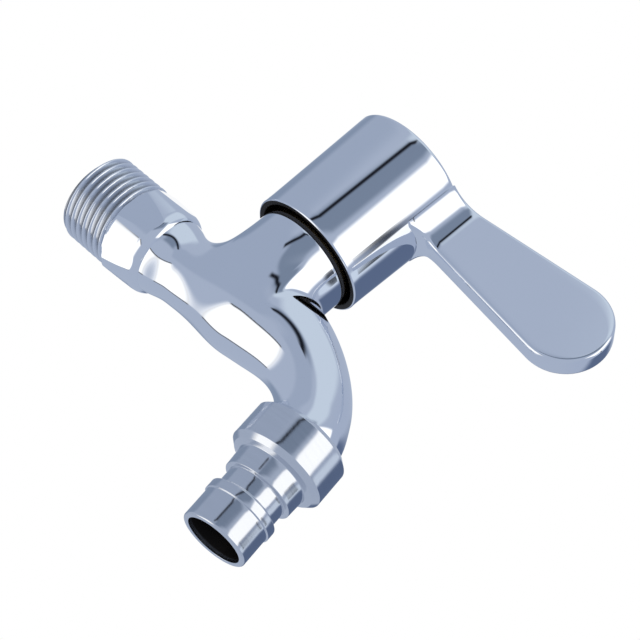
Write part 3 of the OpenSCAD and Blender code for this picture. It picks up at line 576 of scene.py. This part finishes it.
def inside_nozzle(r, z):
    """Whether a point of the nozzle's profile is in its bore, which gets painted shade."""
    return (r < MOUTH_R + SHADE_BORE_MARGIN) & (z > SHADE_FROM_TIP)


def lever_edge_line(side, lean, detail):
    """Stations of one edge of the lever, from the bell to the round end: x, z, outward direction
    in radians and half thickness. Beside the bell the thickness follows the side fillet, an arc
    tangent to the bell, and under it the edge follows the root fillet."""
    lean = math.radians(lean)
    tangent_x = LEVER_END[0] - LEVER_END_R * math.sin(lean)

    def height(x):
        return LEVER_END[1] + side * (LEVER_END_R * math.cos(lean)
                                      - (tangent_x - x) * math.tan(lean))

    def shares(stations):
        return np.arange(stations * detail) / (stations * detail)

    to_centre = bell_r(height(VALVE_X + BELL_R)) + SIDE_FILLET - FILLET_SINK
    reach = math.sqrt(to_centre ** 2 - FILLET_Y ** 2)
    turn = math.atan2(reach, FILLET_Y) * (1 - shares(FILLET_STATIONS))
    x = VALVE_X + reach - SIDE_FILLET * np.sin(turn)
    half = FILLET_Y - SIDE_FILLET * np.cos(turn)
    z = height(x)
    if side < 0:
        gap = np.hypot(x - VALVE_X, half) - bell_r(z)
        into = np.clip(ROOT_FILLET - gap, 0, ROOT_LIMIT * ROOT_FILLET)
        z = z - ROOT_FILLET + np.sqrt(ROOT_FILLET ** 2 - into ** 2)
    out = side * (math.pi / 2 + lean)
    plain_x = mix(VALVE_X + reach, tangent_x, shares(PLAIN_STATIONS))
    middle = math.radians(UPPER_LEAN - LOWER_LEAN) / 2
    arc = mix(out, middle, np.arange(END_STATIONS * detail + 1) / (END_STATIONS * detail))
    root = np.array([[x[0] - ROOT_SINK, z[0], out, half[0] - ROOT_SINK]])
    fillet = np.stack([x, z, 0 * x + out, half], -1)
    plain = np.stack([plain_x, height(plain_x), 0 * plain_x + out, 0 * plain_x + LEVER_T / 2], -1)
    end = np.stack([LEVER_END[0] + LEVER_END_R * np.cos(arc),
                    LEVER_END[1] + LEVER_END_R * np.sin(arc), arc, 0 * arc + LEVER_T / 2], -1)
    return np.concatenate([root, fillet, plain, end])


def lever_mesh(detail):
    """The lever: the two edge lines, each rounded by a quarter circle on both sides, joined over
    both broad faces by straight rows of points."""
    upper = lever_edge_line(1, UPPER_LEAN, detail)
    lower = lever_edge_line(-1, LOWER_LEAN, detail)

    def edge(line, a, side):
        inset = LEVER_EDGE * (1 - np.cos(a))
        rise = line[:, 3] - LEVER_EDGE + LEVER_EDGE * math.sin(a)
        return np.stack([line[:, 0] - inset * np.cos(line[:, 2]), side * rise,
                         line[:, 1] - inset * np.sin(line[:, 2])], -1)

    def face(a, b):
        return [mix(a, b, t) for t in np.linspace(0, 1, FACE_ROWS + 1)[1:-1]]

    turns = np.radians(np.linspace(0, 90, EDGE_STEPS))
    left_up = [edge(upper, a, 1) for a in turns]
    left_low = [edge(lower, a, 1) for a in turns[::-1]]
    right_low = [edge(lower, a, -1) for a in turns]
    right_up = [edge(upper, a, -1) for a in turns[::-1]]
    loops = left_up + face(left_up[-1], left_low[0]) + left_low
    loops += right_low + face(right_low[-1], right_up[0]) + right_up
    rows = np.stack(loops, 1)
    columns = rows.shape[1]
    root_cap = list(range(columns))[::-1]
    return rows.reshape(-1, 3), grid_faces(len(rows), columns), [root_cap]


def finish_piece(piece, body, slot, kind, sharp, *replaced):
    """Gives the piece its sharp edges and its kind of chrome, hangs it on the body that it rides
    on, and hides the CAD nodes that it stands for. The slot is not used."""
    soften_by_angle(piece, sharp)
    piece.data.materials.append(chrome_for(kind))
    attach(piece, body)
    if replaced:
        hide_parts(*replaced)


# ---------------- materials

def emptied_tree(owner):
    """The node tree of a material or a world, with nothing in it."""
    owner.use_nodes = True
    owner.node_tree.nodes.clear()
    return owner.node_tree


def new_material(name, metallic=0.0):
    """A node material with its shader and output joined."""
    material = bpy.data.materials.new(name)
    tree = emptied_tree(material)
    shader = tree.nodes.new("ShaderNodeBsdfPrincipled")
    shader.inputs["Metallic"].default_value = metallic
    output = tree.nodes.new("ShaderNodeOutputMaterial")
    tree.links.new(shader.outputs["BSDF"], output.inputs["Surface"])
    return material, tree, shader


def noise(tree, scale, detail):
    """A noise on Object coordinates with its scale in features per metre: the value from 0 to 1,
    and the mapping that can stretch and turn it."""
    coordinates = tree.nodes.new("ShaderNodeTexCoord")
    mapping = tree.nodes.new("ShaderNodeMapping")
    texture = tree.nodes.new("ShaderNodeTexNoise")
    tree.links.new(coordinates.outputs["Object"], mapping.inputs["Vector"])
    tree.links.new(mapping.outputs["Vector"], texture.inputs["Vector"])
    texture.inputs["Scale"].default_value = scale
    texture.inputs["Detail"].default_value = detail
    return texture.outputs["Fac"], mapping


def ranged(tree, value, level, shares):
    """A level that a 0 to 1 value carries from the lower to the higher of two shares of it."""
    node = tree.nodes.new("ShaderNodeMapRange")
    low, high = shares
    node.inputs["To Min"].default_value = level * low
    node.inputs["To Max"].default_value = level * high
    tree.links.new(value, node.inputs["Value"])
    return node.outputs["Result"]


def tinted(tree, value, colour, shares):
    """A colour that a 0 to 1 value carries from the darker to the lighter of two shares of it."""
    node = tree.nodes.new("ShaderNodeMix")
    node.data_type = "RGBA"
    for socket, share in zip("AB", shares):
        node.inputs[socket].default_value = (*(min(1.0, c * share) for c in colour), 1)
    tree.links.new(value, node.inputs["Factor"])
    return node.outputs["Result"]


def bumped(tree, shader, value, strength, distance):
    """The shader's normal, tilted by a height value."""
    bump = tree.nodes.new("ShaderNodeBump")
    bump.inputs["Strength"].default_value = strength
    bump.inputs["Distance"].default_value = distance
    tree.links.new(value, bump.inputs["Height"])
    tree.links.new(bump.outputs["Normal"], shader.inputs["Normal"])


def with_painted_shade(tree, shader, colour, haze):
    """Where the piece's own value says so, the colour goes to a nearly black painted shade and the
    roughness to a dull one."""
    painted_shade = tree.nodes.new("ShaderNodeAttribute")
    painted_shade.attribute_name = "painted_shade"
    # Painted shade: the colour is mixed towards nearly black by the point's value
    under = tree.nodes.new("ShaderNodeMix")
    under.data_type = "RGBA"
    under.inputs["B"].default_value = (*bpy.context.scene.tap_finish.painted_shade, 1)
    dull = tree.nodes.new("ShaderNodeMix")
    dull.inputs["B"].default_value = SHADED_ROUGHNESS
    for node, plated, socket in ((under, colour, "Base Color"), (dull, haze, "Roughness")):
        tree.links.new(painted_shade.outputs["Fac"], node.inputs["Factor"])
        tree.links.new(plated, node.inputs["A"])
        tree.links.new(node.outputs["Result"], shader.inputs[socket])


def polished_chrome(name, colour, roughness, ripple):
    """Mirror chrome over a polished casting: faint ripple, and haze that varies a little."""
    material, tree, shader = new_material(name, 1.0)
    haze, _ = noise(tree, HAZE_SCALE, 3.0)
    wave, _ = noise(tree, RIPPLE_SCALE, 1.0)
    with_painted_shade(tree, shader, tinted(tree, haze, colour, CHROME_TINT),
          ranged(tree, haze, roughness, CHROME_HAZE))
    bumped(tree, shader, wave, 1.0, ripple)
    return material


def turned_chrome(name, colour, roughness, axis):
    """Chrome over turned brass: streaks that run round the turning axis, in the colour, the haze
    and the height."""
    material, tree, shader = new_material(name, 1.0)
    streak, stretched = noise(tree, STREAK_SCALE, 4.0)
    if axis == "Z":
        stretched.inputs["Rotation"].default_value = (0, math.radians(NOZZLE_LEAN), 0)
        stretched.inputs["Scale"].default_value = (STREAK_SQUEEZE, STREAK_SQUEEZE, 1.0)
    else:
        stretched.inputs["Scale"].default_value = (1.0, STREAK_SQUEEZE, STREAK_SQUEEZE)
    with_painted_shade(tree, shader, tinted(tree, streak, colour, TURNED_TINT),
          ranged(tree, streak, roughness, TURNED_HAZE))
    bumped(tree, shader, streak, 1.0, STREAK_DEPTH)
    return material


def machined_metal(name, colour, roughness):
    """Plain turned metal inside the tap: satin, with fine marks."""
    material, tree, shader = new_material(name, 1.0)
    marks, _ = noise(tree, MARK_SCALE, 4.0)
    tree.links.new(ranged(tree, marks, roughness, METAL_HAZE), shader.inputs["Roughness"])
    tree.links.new(tinted(tree, marks, colour, METAL_TINT), shader.inputs["Base Color"])
    bumped(tree, shader, marks, 0.3, MARK_DEPTH)
    return material


def moulded(name, colour, roughness, grain):
    """Rubber, polymer or ceramic: a fine grain in the colour, the gloss and the height."""
    material, tree, shader = new_material(name)
    grains, _ = noise(tree, GRAIN_SCALE, 3.0)
    tree.links.new(ranged(tree, grains, roughness, MOULDED_HAZE), shader.inputs["Roughness"])
    tree.links.new(tinted(tree, grains, colour, MOULDED_TINT), shader.inputs["Base Color"])
    bumped(tree, shader, grains, 0.4, grain)
    return material


def chrome_for(kind):
    """The chrome of one kind of piece, made once."""
    looks = bpy.context.scene.tap_finish
    name = "chrome_" + kind
    if name in bpy.data.materials:
        return bpy.data.materials[name]
    if kind == "cast":
        return polished_chrome(name, looks.chrome, looks.chrome_roughness, CAST_RIPPLE)
    if kind == "handle":
        return polished_chrome(name, looks.chrome, looks.chrome_roughness, HANDLE_RIPPLE)
    if kind == "thread":
        return turned_chrome(name, looks.chrome, THREAD_HAZE * looks.turned_roughness, "X")
    return turned_chrome(name, looks.turned, looks.turned_roughness, "Z")


# ---------------- settings

def colour_setting(name, description, default):
    """A colour that the user can change."""
    return FloatVectorProperty(name=name, description=description, subtype="COLOR",
                               default=default, min=0, max=1)


class TapShape(bpy.types.PropertyGroup):
    """Sizes of the detail that the visual pieces add to the CAD."""
    thread_pitch: FloatProperty(
        name="Thread pitch", description="Pitch of the inlet thread", default=1.814 * MM,
        min=0.001, max=0.003, unit="LENGTH", precision=6)
    thread_depth: FloatProperty(
        name="Thread depth", description="Depth of the inlet thread", default=1.1 * MM,
        min=0.0005, max=0.0015, unit="LENGTH", precision=6)
    detail: IntProperty(
        name="Skin detail", description="Mesh rings per ring of the CAD skin", default=4,
        min=2, max=6)


class TapFinish(bpy.types.PropertyGroup):
    """Colours and gloss."""
    chrome: colour_setting("Chrome", "Colour of the polished chrome", (0.86, 0.885, 0.93))
    chrome_roughness: FloatProperty(
        name="Chrome roughness", description="Haze of the polished chrome", default=0.035,
        min=0, max=1, subtype="FACTOR")
    turned: colour_setting("Turned chrome", "Colour of the turned pieces", (0.78, 0.80, 0.84))
    turned_roughness: FloatProperty(
        name="Turned roughness", description="Haze of the turned chrome", default=0.1,
        min=0, max=1, subtype="FACTOR")
    # Nearly black painted shade inside the bell, the nozzle's bore and the thread's roots
    painted_shade: colour_setting("Painted shade inside", "Colour inside the bell and the nozzle",
                         (0.055, 0.048, 0.042))
    brass: colour_setting("Brass", "Colour of the headwork", (0.55, 0.40, 0.20))
    steel: colour_setting("Steel", "Colour of the screw, washer and clip", (0.62, 0.64, 0.66))
    rubber: colour_setting("Rubber", "Colour of the seals", (0.04, 0.04, 0.045))
    ceramic: colour_setting("Ceramic", "Colour of the discs", (0.86, 0.85, 0.81))
    polymer: colour_setting("Polymer", "Colour of the moulded pieces", (0.80, 0.81, 0.80))


class TapStage(bpy.types.PropertyGroup):
    """Floor, background and light."""
    floor: colour_setting("Floor", "Colour of the floor", (0.80, 0.80, 0.81))
    floor_z: FloatProperty(
        name="Floor height", description="Height of the floor below the inlet axis",
        default=-0.24, unit="LENGTH")
    key: FloatProperty(
        name="Key light", description="Strength of the large soft light", default=1.0, min=0)
    tent: FloatProperty(
        name="Tent light", description="Strength of the tent in reflections", default=1.0, min=0)


# ---------------- operators for the pieces

class TAP_OT_casting(bpy.types.Operator):
    """Makes the cast body with its hexagon, inlet thread and spout end"""
    bl_idname = "tap.casting"
    bl_label = "Cast body"

    def execute(self, context):
        shape = context.scene.tap_shape
        body = make_mesh("cast_body", *cast_body_mesh(shape.detail))
        finish_piece(body, FIXED, "cast_chrome", "cast", CAST_SHARP, "body")
        hexagon = make_mesh("spanner_hexagon", *hexagon_mesh())
        finish_piece(hexagon, FIXED, "cast_chrome", "cast", CAST_SHARP)
        points, faces, thread_shade = thread_mesh(shape.thread_pitch / MM, shape.thread_depth / MM)
        thread = make_mesh("inlet_thread", points, faces)
        # The thread gets its painted shade in the roots and in the bore
        set_painted_shade(thread, thread_shade)
        finish_piece(thread, FIXED, "cast_chrome", "thread", THREAD_SHARP)
        spigot = lathe("spout_spigot", rounded(SPIGOT_PROFILE), on_nozzle, SMALL_COLUMNS)
        finish_piece(spigot, FIXED, "cast_chrome", "cast", SPIGOT_SHARP)
        return {"FINISHED"}


class TAP_OT_handle(bpy.types.Operator):
    """Makes the bell with its hub, the lever, and the plug over the screw"""
    bl_idname = "tap.handle"
    bl_label = "Handle"

    def execute(self, context):
        bell = lathe("handle_bell", rounded(BELL_PROFILE, BELL_ARCS), on_valve, BELL_COLUMNS,
                     shade_where=inside_bell)
        finish_piece(bell, TURNING, "handle_chrome", "handle", TURNED_SHARP, "handle")
        lever = make_mesh("handle_lever", *lever_mesh(LEVER_DETAIL))
        finish_piece(lever, TURNING, "handle_chrome", "handle", TURNED_SHARP)
        plug = lathe("plug_cap", rounded(PLUG_PROFILE), on_valve, SMALL_COLUMNS)
        finish_piece(plug, TURNING, "handle_chrome", "handle", TURNED_SHARP, "handle_plug")
        return {"FINISHED"}


class TAP_OT_nozzle(bpy.types.Operator):
    """Makes the turned hose nozzle"""
    bl_idname = "tap.nozzle"
    bl_label = "Hose nozzle"

    def execute(self, context):
        nozzle = lathe("turned_nozzle", rounded(NOZZLE_PROFILE), on_nozzle, NOZZLE_COLUMNS,
                       NOZZLE_LONGEST, inside_nozzle)
        finish_piece(nozzle, FIXED, "turned_chrome", "nozzle", TURNED_SHARP, "hose_nozzle")
        return {"FINISHED"}


class TAP_OT_inside(bpy.types.Operator):
    """Gives the carried CAD pieces of the headwork their finishes"""
    bl_idname = "tap.inside"
    bl_label = "Inner pieces"

    def execute(self, context):
        looks = context.scene.tap_finish
        finishes = {
            "brass": machined_metal("turned_brass", looks.brass, roughness=0.28),
            "steel": machined_metal("plain_steel", looks.steel, roughness=0.32),
            "rubber": moulded("black_rubber", looks.rubber, roughness=0.7, grain=2e-5),
            "ceramic": moulded("lapped_ceramic", looks.ceramic, roughness=0.22, grain=4e-6),
            "polymer": moulded("moulded_polymer", looks.polymer, roughness=0.45, grain=1e-5),
        }
        slots = {part["node"]: part["material_slot"] for part in frame["record"]["subparts"]}
        for node, carried in frame["nodes"].items():
            if slots[node] in finishes:
                carried.data.materials.clear()
                carried.data.materials.append(finishes[slots[node]])
        return {"FINISHED"}


# ---------------- stage

def card(direction, across, up, width, height, turn, soft_sides, soft_ends):
    """How much of a flat card is seen in each direction, 0 to 1. The card faces the tap: its
    middle is at the two angles, its sides are width and height degrees, and it is turned about its
    middle. Each pair of edges fades by an eased step of how far inside it the direction meets the
    card's plane, over the tangent of the softness."""
    across, up, turn = np.radians((across, up, turn))
    middle = np.array([np.cos(up) * np.sin(across), np.sin(up), np.cos(up) * np.cos(across)])
    level = np.array([np.cos(across), 0, -np.sin(across)])
    rise = np.cross(middle, level)
    depth = direction @ middle
    axes = (np.cos(turn) * level + np.sin(turn) * rise, np.cos(turn) * rise - np.sin(turn) * level)
    share = (depth > 0).astype(float)
    for axis, degrees, soft in zip(axes, (width, height), (soft_sides, soft_ends)):
        beside = np.abs(direction @ axis) / np.maximum(depth, 1e-6)
        reach = math.tan(math.radians(degrees / 2)) - beside
        share = share * ease(reach / math.tan(math.radians(soft)) + 0.5)
    return share[..., None]


def tent_colour(direction):
    """Light of the studio tent seen from the tap, by direction (to the camera's right, its upper
    side, and towards the camera): grey-blue cloth that changes a little to the right, with the
    cards on it."""
    right, up = direction[..., :1], direction[..., 1:2]
    colour = mix(np.array(TENT_CLOTH), np.array(TENT_SIDE),
                 ease((right - SIDE_TILT * up - SIDE_FROM) / SIDE_FADE))
    for placed, light in TENT_CARDS:
        colour = mix(colour, np.array(light), card(direction, *placed))
    return colour


def add_floor(scene, stage):
    """The plain pale floor. Chrome doesn't show it: the tent is what reflections see."""
    mesh = bpy.data.meshes.new("floor")
    corners = ((-1, -1), (1, -1), (1, 1), (-1, 1))
    mesh.from_pydata([(FLOOR_REACH * x, FLOOR_REACH * y, stage.floor_z) for x, y in corners],
                     [], [(0, 1, 2, 3)])
    floor = bpy.data.objects.new("floor", mesh)
    scene.collection.objects.link(floor)
    material, tree, shader = new_material("pale_floor")
    shader.inputs["Roughness"].default_value = FLOOR_ROUGHNESS
    grain, _ = noise(tree, FLOOR_SCALE, 3.0)
    tree.links.new(tinted(tree, grain, stage.floor, FLOOR_TINT), shader.inputs["Base Color"])
    mesh.materials.append(material)
    floor.visible_glossy = False


def add_tent(scene, stage):
    """A sphere round the tap that only reflections see, as a studio tent: rows and columns of
    points about the camera's upper side, with the light at each point kept as a colour."""
    rise, turn = np.meshgrid(np.linspace(-np.pi / 2, np.pi / 2, TENT_ROWS + 1),
                             full_turn(TENT_COLUMNS), indexing="ij")
    direction = np.stack([np.cos(rise) * np.sin(turn), np.sin(rise),
                          np.cos(rise) * np.cos(turn)], -1).reshape(-1, 3)
    axes = np.array(CAMERA_TURN.to_matrix()).T
    points = np.array(TENT_CENTRE) + TENT_R * direction @ axes
    mesh = bpy.data.meshes.new("studio_tent")
    mesh.from_pydata(points.tolist(), [], grid_faces(TENT_ROWS + 1, TENT_COLUMNS).tolist())
    glow = mesh.color_attributes.new("glow", "FLOAT_COLOR", "POINT")
    light = np.concatenate([tent_colour(direction), np.ones((len(direction), 1))], -1)
    glow.data.foreach_set("color", light.ravel())
    material = bpy.data.materials.new("studio_tent")
    tree = emptied_tree(material)
    attribute, shine = tree.nodes.new("ShaderNodeAttribute"), tree.nodes.new("ShaderNodeEmission")
    attribute.attribute_name = "glow"
    output = tree.nodes.new("ShaderNodeOutputMaterial")
    tree.links.new(attribute.outputs["Color"], shine.inputs["Color"])
    tree.links.new(shine.outputs["Emission"], output.inputs["Surface"])
    shine.inputs["Strength"].default_value = stage.tent
    mesh.materials.append(material)
    tent = bpy.data.objects.new("studio_tent", mesh)
    tent.visible_camera = tent.visible_diffuse = False
    tent.visible_transmission = tent.visible_shadow = False
    scene.collection.objects.link(tent)


def add_world(scene):
    """A plain world: white to the camera, to gloss and to glass, and soft light to the rest."""
    scene.world = bpy.data.worlds.new("studio")
    tree = emptied_tree(scene.world)
    nodes, links = tree.nodes, tree.links
    path = nodes.new("ShaderNodeLightPath")
    seen = path.outputs["Is Camera Ray"]
    for ray in ("Is Glossy Ray", "Is Transmission Ray"):
        either = nodes.new("ShaderNodeMath")
        either.operation = "MAXIMUM"
        links.new(seen, either.inputs[0])
        links.new(path.outputs[ray], either.inputs[1])
        seen = either.outputs["Value"]
    blend = nodes.new("ShaderNodeMix")
    blend.data_type = "RGBA"
    blend.inputs["A"].default_value = WORLD_SOFT
    blend.inputs["B"].default_value = WORLD_WHITE
    links.new(seen, blend.inputs["Factor"])
    back = nodes.new("ShaderNodeBackground")
    output = nodes.new("ShaderNodeOutputWorld")
    links.new(blend.outputs["Result"], back.inputs["Color"])
    links.new(back.outputs["Background"], output.inputs["Surface"])


def add_lamp(scene, stage):
    """One large soft lamp for the pieces that aren't mirrors, and for the floor."""
    data = bpy.data.lights.new("key", "AREA")
    data.shape, data.size, data.size_y = "RECTANGLE", LAMP_SIDE, LAMP_SIDE
    data.energy = LAMP_POWER * stage.key
    lamp = bpy.data.objects.new("key", data)
    lamp.location = LAMP_PLACE
    lamp.rotation_mode = "QUATERNION"
    lamp.rotation_quaternion = (LAMP_AIM - lamp.location).to_track_quat("-Z", "Y")
    lamp.visible_camera = lamp.visible_glossy = False
    scene.collection.objects.link(lamp)


def add_camera(scene):
    """The camera where the photograph was taken from, with the photograph's frame."""
    camera = bpy.data.objects.new("camera", bpy.data.cameras.new("camera"))
    camera.data.sensor_width, camera.data.lens = SENSOR_WIDTH, LENS
    camera.data.clip_start, camera.data.clip_end = CLIP_START, CLIP_END
    camera.location = CAMERA_PLACE
    camera.rotation_mode = "QUATERNION"
    camera.rotation_quaternion = CAMERA_TURN
    scene.collection.objects.link(camera)
    scene.camera = camera


class TAP_OT_stage(bpy.types.Operator):
    """Makes the floor, the tent, the world, the lamp and the camera at the photographed angle"""
    bl_idname = "tap.stage"
    bl_label = "Stage"

    def execute(self, context):
        scene, stage = context.scene, context.scene.tap_stage
        add_floor(scene, stage)
        add_tent(scene, stage)
        add_world(scene)
        add_lamp(scene, stage)
        add_camera(scene)
        scene.view_settings.view_transform = "Standard"
        return {"FINISHED"}


class TAP_PT_panel(bpy.types.Panel):
    """Lists the tap's settings and operators"""
    bl_idname = "TAP_PT_panel"
    bl_label = "Wall-mounted tap"
    bl_space_type = "VIEW_3D"
    bl_region_type = "UI"
    bl_category = "Tap"

    def draw(self, context):
        for group in SETTINGS:
            settings = getattr(context.scene, group)
            box = self.layout.box()
            for key in settings.__annotations__:
                box.prop(settings, key)
        for operator in OPERATORS:
            self.layout.operator(operator.bl_idname)


OPERATORS = (TAP_OT_casting, TAP_OT_handle, TAP_OT_nozzle, TAP_OT_inside, TAP_OT_stage)
SETTINGS = {"tap_shape": TapShape, "tap_finish": TapFinish, "tap_stage": TapStage}


def register():
    """Registers the classes and hangs the settings on the scene."""
    for cls in (*SETTINGS.values(), *OPERATORS, TAP_PT_panel):
        bpy.utils.register_class(cls)
    for name, cls in SETTINGS.items():
        setattr(bpy.types.Scene, name, PointerProperty(type=cls))


def unregister():
    """Takes the settings and classes away again."""
    for name in SETTINGS:
        delattr(bpy.types.Scene, name)
    for cls in reversed((*SETTINGS.values(), *OPERATORS, TAP_PT_panel)):
        bpy.utils.unregister_class(cls)


def main():
    """Makes every piece and the stage."""
    register()
    bpy.ops.tap.casting()
    bpy.ops.tap.handle()
    bpy.ops.tap.nozzle()
    bpy.ops.tap.inside()
    bpy.ops.tap.stage()


if __name__ == "__main__":
    main()
